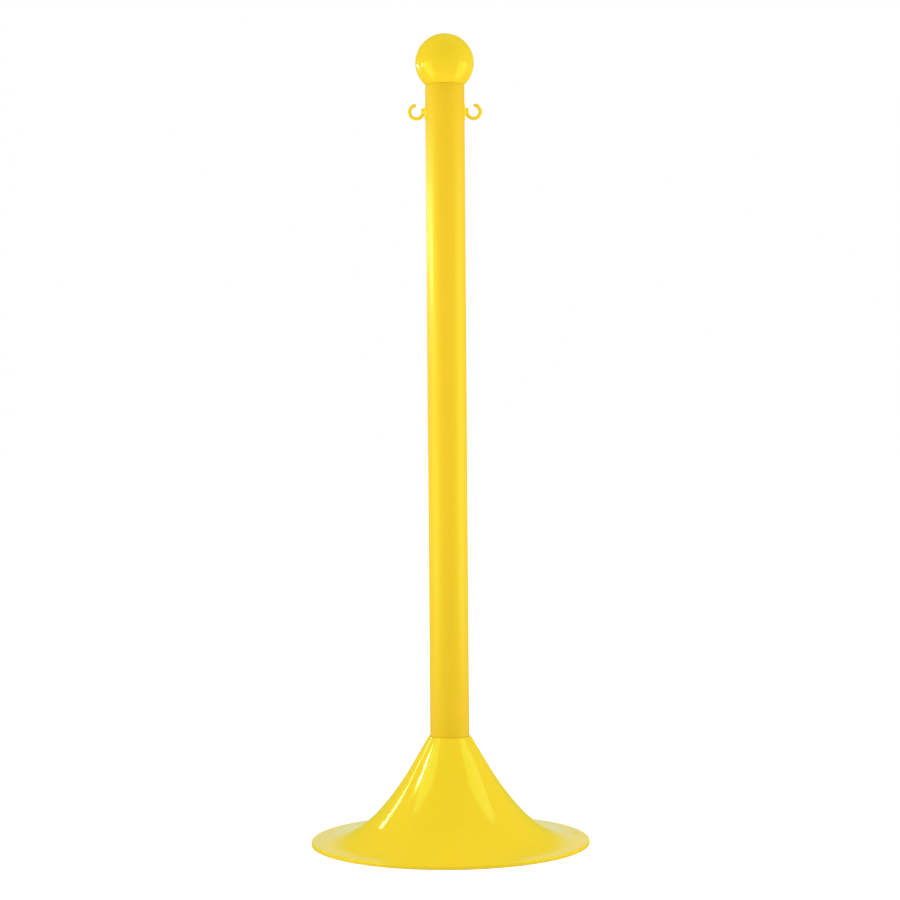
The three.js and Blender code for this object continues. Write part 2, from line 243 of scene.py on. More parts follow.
def combine(piece, tools, operation):
    """Adds solids to a piece, or cuts them from it, and removes them."""
    for tool in tools:
        modifier = piece.modifiers.new("combine", "BOOLEAN")
        modifier.operation = operation
        modifier.solver = "EXACT"
        modifier.object = tool
    bake_modifiers(piece)
    for tool in tools:
        bpy.data.objects.remove(tool)
    return piece


def shade(piece, sharp_degrees=32):
    """Smooth shading, with edges kept sharp where the faces meet at more than that angle."""
    shaper = bmesh.new()
    shaper.from_mesh(piece.data)
    bmesh.ops.remove_doubles(shaper, verts=shaper.verts, dist=1e-6)
    bmesh.ops.dissolve_degenerate(shaper, dist=1e-6, edges=shaper.edges)
    limit = math.radians(sharp_degrees)
    for face in shaper.faces:
        face.smooth = True
    for edge in shaper.edges:
        edge.smooth = len(edge.link_faces) == 2 and edge.calc_face_angle(0) < limit
    shaper.to_mesh(piece.data)
    shaper.free()
    return piece


def place(piece, body, node, material):
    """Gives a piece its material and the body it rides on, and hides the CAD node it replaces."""
    piece.data.materials.clear()
    piece.data.materials.append(material)
    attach(piece, body)
    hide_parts(node)
    return piece


# ------------------------------------------------------------------ materials


class Nodes:
    """A small writer for one material's node tree."""

    def __init__(self, name):
        self.material = bpy.data.materials.new(name)
        self.material.use_nodes = True
        self.tree = self.material.node_tree
        self.shader = self.tree.nodes["Principled BSDF"]
        self.place = self.add("ShaderNodeTexCoord").outputs["Object"]

    def add(self, kind, **settings):
        node = self.tree.nodes.new(kind)
        for key, value in settings.items():
            setattr(node, key, value)
        return node

    def link(self, source, target):
        self.tree.links.new(source, target)

    def stretched(self, scale):
        mapping = self.add("ShaderNodeMapping")
        mapping.inputs["Scale"].default_value = scale
        self.link(self.place, mapping.inputs["Vector"])
        return mapping.outputs["Vector"]

    def noise(self, scale, detail=3.0, roughness=0.5, vector=None):
        texture = self.add("ShaderNodeTexNoise")
        texture.inputs["Scale"].default_value = scale
        texture.inputs["Detail"].default_value = detail
        texture.inputs["Roughness"].default_value = roughness
        self.link(vector or self.place, texture.inputs["Vector"])
        return texture.outputs["Fac"]

    def ramp(self, value, low, high, start, end):
        """Maps `value` from low..high to start..end, and holds it there outside."""
        node = self.add("ShaderNodeMapRange")
        node.inputs["From Min"].default_value = low
        node.inputs["From Max"].default_value = high
        node.inputs["To Min"].default_value = start
        node.inputs["To Max"].default_value = end
        self.link(value, node.inputs["Value"])
        return node.outputs["Result"]

    def math(self, operation, first, second):
        node = self.add("ShaderNodeMath", operation=operation)
        for socket, value in zip(node.inputs, (first, second)):
            if isinstance(value, (int, float)):
                socket.default_value = value
            else:
                self.link(value, socket)
        return node.outputs["Value"]

    def mix(self, share, first, second):
        node = self.add("ShaderNodeMix", data_type="RGBA")
        self.link(share, node.inputs["Factor"])
        for name, value in (("A", first), ("B", second)):
            socket = [s for s in node.inputs if s.name == name and s.type == "RGBA"][0]
            if isinstance(value, (tuple, list)):
                socket.default_value = (*value, 1)
            else:
                self.link(value, socket)
        return [s for s in node.outputs if s.type == "RGBA"][0]

    def bump(self, height, distance, strength=1.0, below=None):
        node = self.add("ShaderNodeBump")
        node.inputs["Strength"].default_value = strength
        node.inputs["Distance"].default_value = distance
        self.link(height, node.inputs["Height"])
        if below:
            self.link(below, node.inputs["Normal"])
        return node.outputs["Normal"]

    def axis(self, name):
        node = self.add("ShaderNodeSeparateXYZ")
        self.link(self.place, node.inputs["Vector"])
        return node.outputs[name]

    def radius(self):
        """Distance from the pole's axis."""
        across = self.math("POWER", self.axis("X"), 2)
        deep = self.math("POWER", self.axis("Y"), 2)
        return self.math("SQRT", self.math("ADD", across, deep), 0)


def soften_gloss(shader):
    """The lemon-tinted gloss of the yellow polyethylene, the same on all the yellow parts."""
    shader.inputs["IOR"].default_value = 1.5
    shader.inputs["Specular IOR Level"].default_value = 0.7
    shader.inputs["Specular Tint"].default_value = (0.2, 1.0, 0.05, 1)


def moulded_yellow():
    """Glossy injection-moulded polyethylene: faint flow marks, soft sink waviness and fine scuffs."""
    n = Nodes("moulded_yellow")
    cloud = n.noise(9, 4)
    colour = n.mix(n.ramp(cloud, 0.3, 0.7, 0, 1), (0.79, 0.545, 0.021), (0.815, 0.560, 0.025))
    flow = n.noise(1, 3, vector=n.stretched((240, 240, 22)))
    colour = n.mix(n.ramp(flow, 0.45, 0.75, 0, 0.25), colour, (0.76, 0.51, 0.018))
    n.link(colour, n.shader.inputs["Base Color"])
    scuffs = n.noise(1, 6, 0.7, n.stretched((900, 900, 120)))
    brim_wear = n.ramp(n.radius(), 0.150, 0.176, 0.0, 0.10)
    worn = n.math("MULTIPLY", n.ramp(scuffs, 0.5, 0.72, 0, 1), n.math("ADD", brim_wear, 0.05))
    rough = n.math("ADD", n.ramp(n.noise(60, 3), 0.3, 0.7, 0.085, 0.125), worn)
    n.link(rough, n.shader.inputs["Roughness"])
    waviness = n.bump(n.noise(26, 1), 0.10 * MM)
    grain = n.bump(n.noise(900, 2), 0.006 * MM, below=waviness)
    n.link(grain, n.shader.inputs["Normal"])
    soften_gloss(n.shader)
    return n.material


def extruded_yellow():
    """Satin extruded tube: die lines along its length and a slightly uneven sheen."""
    n = Nodes("extruded_yellow")
    lines = n.noise(1, 4, 0.6, n.stretched((700, 700, 3)))
    cloud = n.noise(5, 3)
    colour = n.mix(n.ramp(cloud, 0.3, 0.7, 0, 1), (0.79, 0.495, 0.021), (0.81, 0.507, 0.024))
    colour = n.mix(n.ramp(lines, 0.4, 0.8, 0, 0.3), colour, (0.78, 0.465, 0.018))
    n.link(colour, n.shader.inputs["Base Color"])
    rough = n.math("ADD", n.ramp(lines, 0.3, 0.7, 0.27, 0.36), n.ramp(n.noise(40, 4), 0.3, 0.7, 0, 0.05))
    n.link(rough, n.shader.inputs["Roughness"])
    die = n.bump(lines, 0.012 * MM)
    grain = n.bump(n.noise(1500, 2), 0.004 * MM, below=die)
    n.link(grain, n.shader.inputs["Normal"])
    soften_gloss(n.shader)
    return n.material


def hook_yellow():
    """The small hooks: satin moulding, polished a little where the chain rubs inside the ring."""
    n = Nodes("hook_yellow")
    cloud = n.noise(120, 3)
    colour = n.mix(n.ramp(cloud, 0.3, 0.7, 0, 1), (0.87, 0.580, 0.018), (0.89, 0.600, 0.021))
    n.link(colour, n.shader.inputs["Base Color"])
    low = n.ramp(n.axis("Z"), HOOK_HEIGHT - 8 * MM, HOOK_HEIGHT - 2 * MM, 0.20, 0.32)
    n.link(n.math("ADD", low, n.ramp(n.noise(500, 3), 0.3, 0.7, -0.03, 0.05)), n.shader.inputs["Roughness"])
    n.link(n.bump(n.noise(900, 3), 0.012 * MM), n.shader.inputs["Normal"])
    soften_gloss(n.shader)
    return n.material


def recycled_black(name, tone, low, high):
    """Black recycled plastic with a fine spark-eroded texture and greyish rub marks."""
    n = Nodes(name)
    cloud = n.noise(35, 5)
    colour = n.mix(n.ramp(cloud, 0.35, 0.7, 0, 1), (tone,) * 3, (tone * 1.7,) * 3)
    rubs = n.noise(1, 6, 0.65, n.stretched((60, 400, 200)))
    colour = n.mix(n.ramp(rubs, 0.58, 0.8, 0, 0.35), colour, (0.07, 0.07, 0.068))
    n.link(colour, n.shader.inputs["Base Color"])
    n.link(n.ramp(n.noise(180, 4), 0.3, 0.7, low, high), n.shader.inputs["Roughness"])
    texture = n.bump(n.noise(1400, 2), 0.03 * MM)
    n.link(texture, n.shader.inputs["Normal"])
    return n.material


def gasket_rubber():
    """Dull black rubber with a faint grey bloom."""
    n = Nodes("gasket_rubber")
    bloom = n.noise(70, 5)
    colour = n.mix(n.ramp(bloom, 0.45, 0.75, 0, 1), (0.010, 0.010, 0.010), (0.030, 0.029, 0.027))
    n.link(colour, n.shader.inputs["Base Color"])
    n.link(n.ramp(n.noise(300, 3), 0.3, 0.7, 0.72, 0.9), n.shader.inputs["Roughness"])
    n.link(n.bump(n.noise(1100, 3), 0.02 * MM), n.shader.inputs["Normal"])
    return n.material


def dry_sand():
    """Loose sand: grains of a few tones, bumps of half a millimetre and soft heaps."""
    n = Nodes("dry_sand")
    grains = n.add("ShaderNodeTexVoronoi")
    grains.inputs["Scale"].default_value = 900
    n.link(n.place, grains.inputs["Vector"])
    tone = n.add("ShaderNodeSeparateColor")
    n.link(grains.outputs["Color"], tone.inputs["Color"])
    colour = n.mix(tone.outputs[0], (0.36, 0.25, 0.13), (0.66, 0.52, 0.33))
    colour = n.mix(n.ramp(n.noise(25, 3), 0.35, 0.7, 0, 0.5), colour, (0.42, 0.31, 0.19))
    n.link(colour, n.shader.inputs["Base Color"])
    n.link(n.ramp(tone.outputs[1], 0, 1, 0.75, 0.98), n.shader.inputs["Roughness"])
    heaps = n.bump(n.noise(40, 3), 1.0 * MM)
    n.link(n.bump(grains.outputs["Distance"], 0.4 * MM, below=heaps), n.shader.inputs["Normal"])
    return n.material


# ------------------------------------------------------------------ base shell


def flare_outline(inset, flare_steps=16, skirt_steps=36):
    """The trumpet's outline from neck to brim, moved inwards by `inset`, as in the CAD model."""
    points = []
    radius, height = NECK_RADIUS, SHOULDER - NECK_BEVEL

    def mark(angle):
        points.append((radius - inset * math.cos(angle), height - inset * math.sin(angle)))

    mark(CONE_ANGLE)
    radius += CONE_LENGTH * math.sin(CONE_ANGLE)
    height -= CONE_LENGTH * math.cos(CONE_ANGLE)
    mark(CONE_ANGLE)
    for bend, start, end, steps in (
        (FLARE_RADIUS, CONE_ANGLE, FLARE_ANGLE, flare_steps),
        (SKIRT_RADIUS, FLARE_ANGLE, BRIM_ANGLE, skirt_steps),
    ):
        from_radius, from_height = radius, height
        for i in range(1, steps + 1):
            angle = start + (end - start) * i / steps
            radius = from_radius + bend * (math.cos(start) - math.cos(angle))
            height = from_height - bend * (math.sin(angle) - math.sin(start))
            mark(angle)
    return points


def brim_top(radius):
    """Height of the brim's upper face, which goes on straight from the end of the flare."""
    end_radius, end_height = flare_outline(0)[-1]
    return end_height - (radius - end_radius) / math.tan(BRIM_ANGLE)


def height_on(outline, radius):
    """Height of an outline at a radius."""
    for (r0, z0), (r1, z1) in zip(outline, outline[1:]):
        if (r0 - radius) * (r1 - radius) <= 0:
            return z0 + (z1 - z0) * (radius - r0) / (r1 - r0)
    raise ValueError("the outline doesn't reach that radius")


def crush_ribs(root, tip, low, high):
    """Six upright ribs, which grip the pole's bore."""
    ribs = []
    for i in range(6):
        angle = (i + 0.5) * math.pi / 3
        size = (tip - root, RIB_WIDTH, high - low)
        ribs.append(block("rib", size, ((tip + root) / 2, 0, (low + high) / 2), angle))
    return ribs


def base_shell():
    """The trumpet with its spigot, the foot ring under its edge and the rib that locates the pan."""
    bore = SPIGOT_RADIUS - SPIGOT_WALL
    inner = flare_outline(WALL, 8, 24)[::-1]
    neck_radius, neck_height = inner.pop()
    web = SHOULDER - 6 * MM
    web_radius = neck_radius + (neck_height - web) * math.tan(CONE_ANGLE)
    rib_in, rib_out = LOCATING_RIB
    under = height_on(inner, (rib_in + rib_out) / 2)
    rib_low = FOOT_HEIGHT
    past_rib = [p for p in inner if p[0] > rib_out + 1 * MM]
    before_rib = [p for p in inner if p[0] < rib_in - 1 * MM]
    edge = BRIM_RADIUS
    profile = filleted([
        (0, SPIGOT_TOP),
        (SPIGOT_RADIUS - 3 * MM, SPIGOT_TOP, 0.8 * MM),
        (SPIGOT_RADIUS, SPIGOT_TOP - 3 * MM, 1.5 * MM),
        (SPIGOT_RADIUS, SHOULDER, 0.5 * MM),
        (NECK_RADIUS, SHOULDER, 0.7 * MM),
        *flare_outline(0)[1:],
        (edge, brim_top(edge), 1.6 * MM),
        (edge, 0, 0.6 * MM),
        (edge - FOOT_WIDTH, 0, 0.4 * MM),
        (edge - FOOT_WIDTH - 0.5 * MM, FOOT_HEIGHT),
        *past_rib,
        (rib_out, under - 0.3 * MM, 0.5 * MM),
        (rib_out - 0.3 * MM, rib_low, 0.4 * MM),
        (rib_in + 0.3 * MM, rib_low, 0.4 * MM),
        (rib_in, under + 0.3 * MM, 0.5 * MM),
        *before_rib,
        (web_radius, web, 2 * MM),
        (bore, web + 1.5 * MM, 2 * MM),
        (bore, SPIGOT_TOP - SPIGOT_WALL, 2 * MM),
        (0, SPIGOT_TOP - SPIGOT_WALL),
    ])
    shell = lathe("base_shell_moulding", profile, 256)
    ribs = crush_ribs(SPIGOT_RADIUS - 1 * MM, CRUSH_RIB_RADIUS, SHOULDER - 1 * MM, SPIGOT_TOP - 5 * MM)
    combine(shell, [*ribs, brim_pip()], "UNION")
    return shade(shell)


def brim_pip():
    """A low round moulding mark on the brim, a little behind the right-hand side."""
    low = brim_top(PIP_DISTANCE) - 1 * MM
    high = brim_top(PIP_DISTANCE) + PIP_HEIGHT
    profile = filleted([(0, low), (PIP_RADIUS, low), (PIP_RADIUS, high, 0.6 * MM), (0, high)])
    pip = lathe("brim_pip", profile, 48)
    turn = Matrix.Rotation(PIP_ANGLE, 4, "Z")
    pip.data.transform(turn @ Matrix.Translation((PIP_DISTANCE, 0, 0)))
    return pip


# ------------------------------------------------------------------ pole


def pole_tube():
    """The round tube, drilled straight through for the two hooks."""
    low = SHOULDER + 0.02 * MM
    bevel = 0.25 * MM
    profile = filleted([
        (POLE_BORE, low, bevel),
        (POLE_RADIUS, low, bevel),
        (POLE_RADIUS, POLE_TOP, bevel),
        (POLE_BORE, POLE_TOP, bevel),
    ], closed=True)
    tube = lathe("pole_extrusion", profile, 192, closed=True)
    reach = 32 * MM
    drill = lathe("drill", [(0, -reach), (HOLE_RADIUS, -reach), (HOLE_RADIUS, reach), (0, reach)], 48)
    drill.data.transform(Matrix.Translation((0, 0, HOOK_HEIGHT)) @ Matrix.Rotation(math.pi / 2, 4, "Y"))
    return shade(combine(tube, [drill], "DIFFERENCE"))


# ------------------------------------------------------------------ ball cap


def ball_arc(radius, start, end, steps):
    """Points on a circle about the ball's centre, by angle above the horizontal."""
    points = []
    for i in range(steps + 1):
        angle = start + (end - start) * i / steps
        points.append((max(radius * math.cos(angle), 0), BALL_CENTRE + radius * math.sin(angle)))
    return points


def ball_cap():
    """The hollow ball, open below through the neck that plugs into the pole."""
    seat = POLE_TOP + 0.05 * MM
    neck_low = ball_low.z
    inner = BALL_RADIUS - BALL_WALL
    outer_start = math.asin((seat + 0.5 * MM - BALL_CENTRE) / BALL_RADIUS)
    inner_start = -math.acos(BALL_NECK_BORE / inner)
    outer_arc = ball_arc(BALL_RADIUS, outer_start, math.pi / 2, 72)
    inner_arc = ball_arc(inner, math.pi / 2, inner_start, 40)
    outer_arc[-1] = (0, outer_arc[-1][1])
    inner_arc[0] = (0, inner_arc[0][1])
    profile = filleted([
        *inner_arc,
        (BALL_NECK_BORE, neck_low),
        (BALL_NECK_RADIUS, neck_low, 0.9 * MM),
        (BALL_NECK_RADIUS, seat),
        (outer_arc[0][0] - 0.4 * MM, seat, 0.3 * MM),
        *outer_arc,
    ])
    ball = lathe("ball_cap_moulding", profile, 160)
    ribs = crush_ribs(BALL_NECK_RADIUS - 1 * MM, CRUSH_RIB_RADIUS, neck_low + 3 * MM, seat + 0.3 * MM)
    return shade(combine(ball, ribs, "UNION"))


# ------------------------------------------------------------------ chain hooks


def ring_wire():
    """The C ring as a swept round wire with rounded ends, open at the top beside the pole."""
    sides, steps, cap_steps = 28, 110, 8
    stations = []
    for k in range(cap_steps, 0, -1):
        angle = math.pi / 2 * k / cap_steps
        stations.append((TIP_ANGLE, math.sin(angle) * WIRE_RADIUS, math.cos(angle)))
    for i in range(steps + 1):
        stations.append((TIP_ANGLE + (STUB_ANGLE - TIP_ANGLE) * i / steps, 0, 1))
    for k in range(1, cap_steps + 1):
        angle = math.pi / 2 * k / cap_steps
        stations.append((STUB_ANGLE, -math.sin(angle) * WIRE_RADIUS, math.cos(angle)))
    vertices = []
    for around, past_end, share in stations:
        out = Vector((math.cos(around), 0, math.sin(around)))
        along = Vector((-math.sin(around), 0, math.cos(around)))
        middle = Vector((HOOK_REACH, 0, HOOK_HEIGHT)) + out * RING_RADIUS + along * past_end
        for s in range(sides):
            angle = 2 * math.pi * s / sides
            across = out * math.cos(angle) + Vector((0, 1, 0)) * math.sin(angle)
            vertices.append(middle + across * (WIRE_RADIUS * max(share, 0.001)))
    faces = []
    for i in range(len(stations) - 1):
        for s in range(sides):
            n = (s + 1) % sides
            faces.append((i * sides + s, i * sides + n, (i + 1) * sides + n, (i + 1) * sides + s))
    faces.append(tuple(range(sides)))
    last = (len(stations) - 1) * sides
    faces.append(tuple(range(last, last + sides)))
    return new_object("ring_wire", mesh_of("ring_wire", vertices, faces))


def saddle_pad():
    """The plate that bears on the pole: a rounded rectangle bent to the pole's curve."""
    half_width, half_height, corner = PAD_WIDTH / 2, PAD_HEIGHT / 2, PAD_CORNER
    inner, outer = POLE_RADIUS, POLE_RADIUS + PAD_EDGE
    rows, columns = 40, 30
    vertices = []
    for radius in (inner, outer):
        for i in range(rows + 1):
            # rows bunch towards the rounded ends
            height = -half_height * math.cos(math.pi * i / rows)
            past = max(0, abs(height) - (half_height - corner))
            width = half_width - corner + math.sqrt(max(corner * corner - past * past, 0))
            for j in range(columns + 1):
                across = (2 * j / columns - 1) * width
                angle = across / POLE_RADIUS
                crown = PAD_CROWN * max(0, 1 - (across / half_width) ** 2 - (height / half_height) ** 2)
                out = radius + (crown if radius == outer else 0)
                vertices.append((out * math.cos(angle), out * math.sin(angle), HOOK_HEIGHT + height))
    layer = (rows + 1) * (columns + 1)
    faces = []
    for i in range(rows):
        for j in range(columns):
            a = i * (columns + 1) + j
            b = a + columns + 1
            faces.append((a, a + 1, b + 1, b))
            faces.append((layer + a, layer + b, layer + b + 1, layer + a + 1))
    border = list(range(columns))
    border += [i * (columns + 1) + columns for i in range(rows)]
    border += [rows * (columns + 1) + j for j in range(columns, 0, -1)]
    border += [i * (columns + 1) for i in range(rows, 0, -1)]
    for a, b in zip(border, border[1:] + border[:1]):
        faces.append((a, b, layer + b, layer + a))
    return new_object("saddle_pad", mesh_of("saddle_pad", vertices, faces))


def snap_shank():
    """The split shank with a barb behind the pole's wall, and the root that runs into the ring."""
    tip = hook_low.x
    barb = POLE_BORE - 0.8 * MM
    face = POLE_RADIUS
    profile = filleted([
        (0, tip),
        (2.7 * MM, tip, 0.5 * MM),
        (BARB_RADIUS, barb - 1 * MM, 0.4 * MM),
        (BARB_RADIUS, barb),
        (SHANK_RADIUS, barb + 0.2 * MM),
        (SHANK_RADIUS, face + 0.4 * MM),
        (5.2 * MM, face + 0.5 * MM),
        (4.6 * MM, face + 2.0 * MM, 1.0 * MM),
        (2.0 * MM, face + 3.4 * MM, 0.8 * MM),
        (0, face + 3.4 * MM),
    ])
    shank = lathe("snap_shank", profile, 64)
    shank.data.transform(Matrix.Translation((0, 0, HOOK_HEIGHT)) @ Matrix.Rotation(math.pi / 2, 4, "Y"))
    slot_end = face - 1.5 * MM
    slot_size = (slot_end - tip + 2 * MM, 1.8 * MM, 12 * MM)
    slot = block("slot", slot_size, ((slot_end + tip - 2 * MM) / 2, 0, HOOK_HEIGHT))
    return combine(shank, [slot], "DIFFERENCE")


def chain_hook(side, turn):
    """One hook, with its ring, pad and shank run together as one moulding."""
    hook = saddle_pad()
    combine(hook, [snap_shank(), ring_wire()], "UNION")
    hook.name = hook.data.name = f"chain_hook_{side}_moulding"
    remesh = hook.modifiers.new("blend", "REMESH")
    remesh.mode = "VOXEL"
    remesh.voxel_size = 0.28 * MM
    relax = hook.modifiers.new("relax", "SMOOTH")
    relax.factor = 0.5
    relax.iterations = 4
    bake_modifiers(hook)
    hook.data.transform(Matrix.Rotation(turn, 4, "Z"))
    return shade(hook, 80)


# ------------------------------------------------------------------ floor pan, plug, gasket, sand


def floor_pan():
    """The dished plate that closes the base, with a collar round the filler hole."""
    flat = PAN_RIM_INNER - PAN_DISH
    slant = PAN_THICKNESS * PAN_MITRE
    collar_in, collar_out = PAN_COLLAR
    profile = filleted([
        (collar_in, PAN_DISH, 0.6 * MM),
        (flat, PAN_DISH, 4 * MM),
        (PAN_RIM_INNER, 0, 1.2 * MM),
        (PAN_RIM, 0, 0.6 * MM),
        (PAN_RIM, PAN_LIP, 0.6 * MM),
        (PAN_RIM - PAN_THICKNESS, PAN_LIP, 0.5 * MM),
        (PAN_RIM - PAN_THICKNESS, PAN_THICKNESS, 0.5 * MM),
        (PAN_RIM_INNER + slant, PAN_THICKNESS, 1.2 * MM),
        (flat + slant, PAN_DISH + PAN_THICKNESS, 4 * MM),
        (collar_out, PAN_DISH + PAN_THICKNESS, 1 * MM),
        (collar_out, pan_high.z, 0.5 * MM),
        (collar_in, pan_high.z, 0.5 * MM),
    ], closed=True)
    pan = lathe("floor_pan_moulding", profile, 192, closed=True)
    return shade(combine(pan, pan_ribs(), "UNION"), 28)


def pan_ribs():
    """Radial ribs under the raised middle, tied together by a ring halfway out."""
    low, high = PAN_DISH - PAN_RIB_DEPTH, PAN_DISH + 0.5 * MM
    start, end = PAN_RIB_SPAN
    size = (end - start, 2 * MM, high - low)
    middle = ((start + end) / 2, 0, (low + high) / 2)
    ribs = []
    for i in range(PAN_RIBS):
        angle = (i + 0.5) * 2 * math.pi / PAN_RIBS
        ribs.append(block("rib", size, middle, angle))
    inner, outer = PAN_RING
    ring = [(inner, low, 0.4 * MM), (outer, low, 0.4 * MM), (outer, high), (inner, high)]
    ribs.append(lathe("ring_rib", filleted(ring, closed=True), 128, closed=True))
    return ribs


def filler_plug():
    """The screw plug: a flanged head with a grip bar in its dimple, and a threaded hollow neck."""
    head_low = plug_low.z
    head_high = gasket_low.z - 0.3 * MM
    top = plug_high.z
    root = PLUG_THREAD - 0.9 * MM
    bore = PLUG_BORE
    dimple = head_low + PLUG_DIMPLE
    profile = filleted([
        (0, dimple),
        (17 * MM, dimple, 1 * MM),
        (19 * MM, head_low, 0.5 * MM),
        (PLUG_RADIUS, head_low, 0.9 * MM),
        (PLUG_RADIUS, head_high, 0.4 * MM),
        (root, head_high, 0.3 * MM),
        (root, top - 0.6 * MM, 0.6 * MM),
        (root - 0.6 * MM, top, 0.3 * MM),
        (bore, top, 0.5 * MM),
        (bore, head_high + 1 * MM, 1 * MM),
        (0, head_high + 1 * MM),
    ])
    plug = lathe("filler_plug_moulding", profile, 128)
    grip = block("grip", PLUG_GRIP, (0, 0, head_low + PLUG_GRIP[2] / 2))
    combine(plug, [grip], "UNION")
    combine(plug, [screw_thread(root, head_high + 1.6 * MM, top - 2 * MM)], "UNION")
    return shade(plug, 40)


def screw_thread(root, low, high):
    """One helical ridge of the plug's pitch, tapered away at both ends."""
    turns = (high - low) / THREAD_PITCH
    steps = int(96 * turns)
    section = [
        (-0.5 * MM, -0.9 * MM),
        (0.9 * MM, -0.35 * MM),
        (0.9 * MM, 0.35 * MM),
        (-0.5 * MM, 0.9 * MM),
    ]
    vertices = []
    for i in range(steps + 1):
        share = i / steps
        angle = 2 * math.pi * turns * share
        fade = min(1, 12 * share, 12 * (1 - share))
        middle = low + (high - low) * share
        for depth, height in section:
            radius = root + (depth if depth < 0 else depth * fade)
            vertices.append((radius * math.cos(angle), radius * math.sin(angle), middle + height))
    faces = [(0, 1, 2, 3)]
    for i in range(steps):
        for s in range(4):
            n = (s + 1) % 4
            faces.append((4 * i + s, 4 * i + n, 4 * i + 4 + n, 4 * i + 4 + s))
    faces.append(tuple(range(4 * steps, 4 * steps + 4)))
    return new_object("screw_thread", mesh_of("screw_thread", vertices, faces))


def filler_gasket():
    """The flat rubber ring under the plug's head."""
    inner, outer = GASKET_BORE, gasket_high.x
    low, high = gasket_low.z, gasket_high.z
    profile = filleted([
        (inner, low, 0.5 * MM),
        (outer, low, 0.5 * MM),
        (outer, high, 0.5 * MM),
        (inner, high, 0.5 * MM),
    ], closed=True)
    return shade(lathe("filler_gasket_ring", profile, 128, closed=True))


def sand_ballast():
    """Poured sand that fills the tank around the collar, with a low uneven heap on top."""
    clear = SAND_CLEARANCE
    collar = PAN_COLLAR[1] + clear
    floor = PAN_DISH + PAN_THICKNESS + clear
    side = [p for p in flare_outline(WALL + clear, 8, 24) if p[0] < sand_high.x + 1e-6]
    side = [p for p in side if p[1] < sand_high.z][::-1]
    flat = PAN_RIM_INNER - PAN_DISH + (PAN_THICKNESS + clear) * PAN_MITRE
    edge_height = floor - (side[0][0] - flat)
    top_radius = side[-1][0]
    surface = [(top_radius * (1 - i / 40), sand_high.z - 1.5 * MM) for i in range(1, 41)]
    collar_top = pan_high.z + clear
    profile = [
        (0, collar_top),
        (collar, collar_top),
        (collar, floor),
        (flat, floor),
        (side[0][0], edge_height),
        *side,
        *surface,
    ]
    sand = lathe("sand_fill", profile, 128)
    for vertex in sand.data.vertices:
        if vertex.co.z > sand_high.z - 2 * MM:
            vertex.co.z += 1.4 * MM * noise.noise(vertex.co * 60)
    return shade(sand, 60)


# ------------------------------------------------------------------ studio


def studio_floor():
    """A plain pale floor, lit evenly enough to run into the backdrop without a line."""
    size = 30
    corners = ((-size, -size), (size, -size), (size, size), (-size, size))
    mesh = mesh_of("floor", [(x, y, FLOOR) for x, y in corners], [(0, 1, 2, 3)])
    floor = new_object("studio_floor", mesh)
    n = Nodes("studio_floor")
    colour = n.mix(n.ramp(n.noise(3, 2), 0.3, 0.7, 0, 1), (0.84, 0.84, 0.84), (0.86, 0.86, 0.86))
    n.link(colour, n.shader.inputs["Base Color"])
    n.shader.inputs["Roughness"].default_value = 0.9
    n.shader.inputs["Specular IOR Level"].default_value = 0.0
    n.shader.inputs["Emission Color"].default_value = (1, 1, 1, 1)
    n.link(n.ramp(n.radius(), 0.5, 2.5, 0.22, 0.56), n.shader.inputs["Emission Strength"])
    floor.data.materials.append(n.material)
    floor.visible_glossy = False


def area_light(name, position, aim, size, power, lean=0):
    """A rectangular lamp turned towards `aim`, and leant over by so many degrees."""
    light = bpy.data.lights.new(name, "AREA")
    light.shape = "RECTANGLE"
    light.size, light.size_y = size
    light.energy = power
    lamp = bpy.data.objects.new(name, light)
    bpy.context.scene.collection.objects.link(lamp)
    lamp.location = position
    facing = (Vector(aim) - Vector(position)).to_track_quat("-Z", "Y")
    leaning = Quaternion((0, 0, 1), math.radians(lean))
    lamp.rotation_euler = (facing @ leaning).to_euler()
    lamp.visible_camera = False
    return lamp


def studio_lights():
    """A soft box on each side, a soft light above, and narrow lamps on the left for thin highlights."""
    middle = (0, 0, 0.6)
    area_light("soft_box_left", (-0.74, -0.25, 0.57), middle, (0.52, 0.95), 3.2)
    area_light("soft_box_right", (0.76, -0.15, 0.57), middle, (0.58, 0.95), 3.2)
    overhead = area_light("overhead", (0, -0.05, 1.95), middle, (0.9, 0.9), 3.5)
    overhead.visible_glossy = False
    lamp = area_light("lamp_left", (-1.196, 0.145, 0.922), middle, (0.06, 0.058), 4)
    low_strip = area_light("strip_low", (-1.44, 1.05, 0.82), (0, 0, 0.5), (0.08, 0.19), 0.3)
    high_strip = area_light("strip_high", (-1.30, 1.20, 1.01), (0, 0, 0.5), (0.12, 0.45), 2.2, 63)
    for narrow in (lamp, low_strip, high_strip):
        narrow.visible_diffuse = False


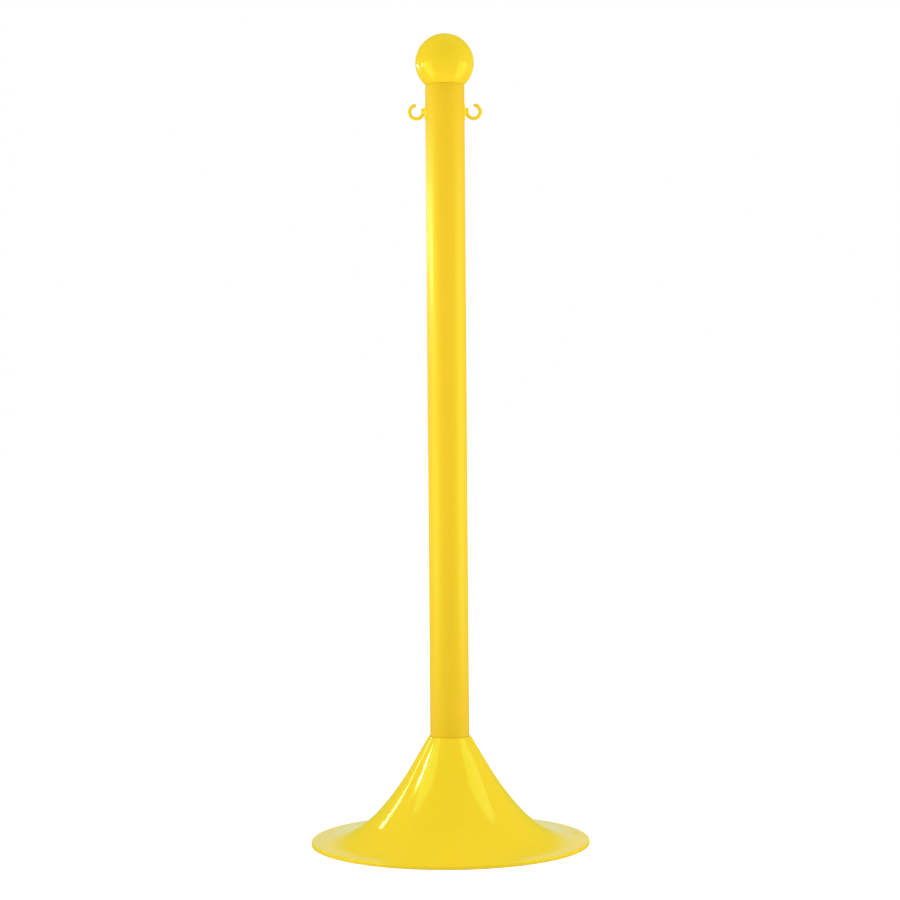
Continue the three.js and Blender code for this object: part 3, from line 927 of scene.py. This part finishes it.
def studio_world():
    """Fills the light evenly, and shows plain white to the camera.

    Gloss sees a pale surround low behind the object. Everywhere else it sees a dimmer lemon one,
    which fades out well below the floor.
    """
    world = bpy.data.worlds.new("studio")
    bpy.context.scene.world = world
    world.use_nodes = True
    tree = world.node_tree

    def join(source, target):
        tree.links.new(source, target)

    def ramp(value, low, high, start, end):
        node = tree.nodes.new("ShaderNodeMapRange")
        node.interpolation_type = "SMOOTHSTEP"
        for name, number in zip(("From Min", "From Max", "To Min", "To Max"), (low, high, start, end)):
            node.inputs[name].default_value = number
        join(value, node.inputs["Value"])
        return node.outputs["Result"]

    def math_node(operation, first, second=None):
        node = tree.nodes.new("ShaderNodeMath")
        node.operation = operation
        join(first, node.inputs[0])
        if second:
            join(second, node.inputs[1])
        return node.outputs["Value"]

    def surround(colour, strength=None):
        node = tree.nodes.new("ShaderNodeBackground")
        node.inputs["Color"].default_value = (*colour, 1)
        if strength:
            join(strength, node.inputs["Strength"])
        return node.outputs["Background"]

    def choose(share, first, second):
        node = tree.nodes.new("ShaderNodeMixShader")
        join(share, node.inputs["Fac"])
        join(first, node.inputs[1])
        join(second, node.inputs[2])
        return node.outputs["Shader"]

    split = tree.nodes.new("ShaderNodeSeparateXYZ")
    join(tree.nodes.new("ShaderNodeTexCoord").outputs["Generated"], split.inputs["Vector"])
    across, deep, high = split.outputs
    behind = ramp(deep, 0.6, 0.97, 0.0, 1.0)
    beside = ramp(math_node("ABSOLUTE", across), 0.10, 0.24, 1.0, 0.0)
    low = ramp(high, 0.20, 0.42, 1.0, 0.0)
    backdrop = math_node("MULTIPLY", math_node("MULTIPLY", behind, beside), low)

    fill = surround((1, 1, 1), ramp(high, 0.1, 1.0, FILL_AROUND, FILL_ABOVE))
    pale = surround(BACK_GLOSS)
    lemon = surround(LEMON_GLOSS, ramp(high, -0.35, -0.10, 0.15, 1.0))
    mirrored = choose(backdrop, lemon, pale)

    ray = tree.nodes.new("ShaderNodeLightPath")
    unseen = choose(ray.outputs["Is Glossy Ray"], fill, mirrored)
    shown = choose(ray.outputs["Is Camera Ray"], unseen, surround((1, 1, 1)))
    join(shown, tree.nodes["World Output"].inputs["Surface"])


def studio_camera():
    """A long lens at mid height, looking slightly down and rolled by half a degree."""
    data = bpy.data.cameras.new("camera")
    data.lens = LENS
    data.sensor_width = FRAME_WIDTH
    camera = bpy.data.objects.new("camera", data)
    bpy.context.scene.collection.objects.link(camera)
    tilt = Matrix.Rotation(math.radians(90 - CAMERA_DROP), 4, "X")
    roll = Matrix.Rotation(math.radians(CAMERA_ROLL), 4, "Z")
    camera.matrix_world = Matrix.Translation(CAMERA_PLACE) @ tilt @ roll
    bpy.context.scene.camera = camera
    bpy.context.scene.view_settings.view_transform = "Standard"


# ------------------------------------------------------------------ assembly

studio_camera()
studio_world()
studio_lights()
studio_floor()

moulded = moulded_yellow()
place(base_shell(), "base", "base_shell", moulded)
place(ball_cap(), "cap", "ball_cap", moulded)
place(pole_tube(), "pole", "pole_tube", extruded_yellow())
hook_finish = hook_yellow()
place(chain_hook("right", 0), "pole", "chain_hook_right", hook_finish)
place(chain_hook("left", math.pi), "pole", "chain_hook_left", hook_finish)
place(floor_pan(), "base", "base_floor_pan", recycled_black("pan_black", 0.016, 0.42, 0.6))
place(filler_plug(), "plug", "filler_plug", recycled_black("plug_black", 0.011, 0.3, 0.45))
place(filler_gasket(), "gasket", "filler_gasket", gasket_rubber())
place(sand_ballast(), "base", "sand_ballast", dry_sand())
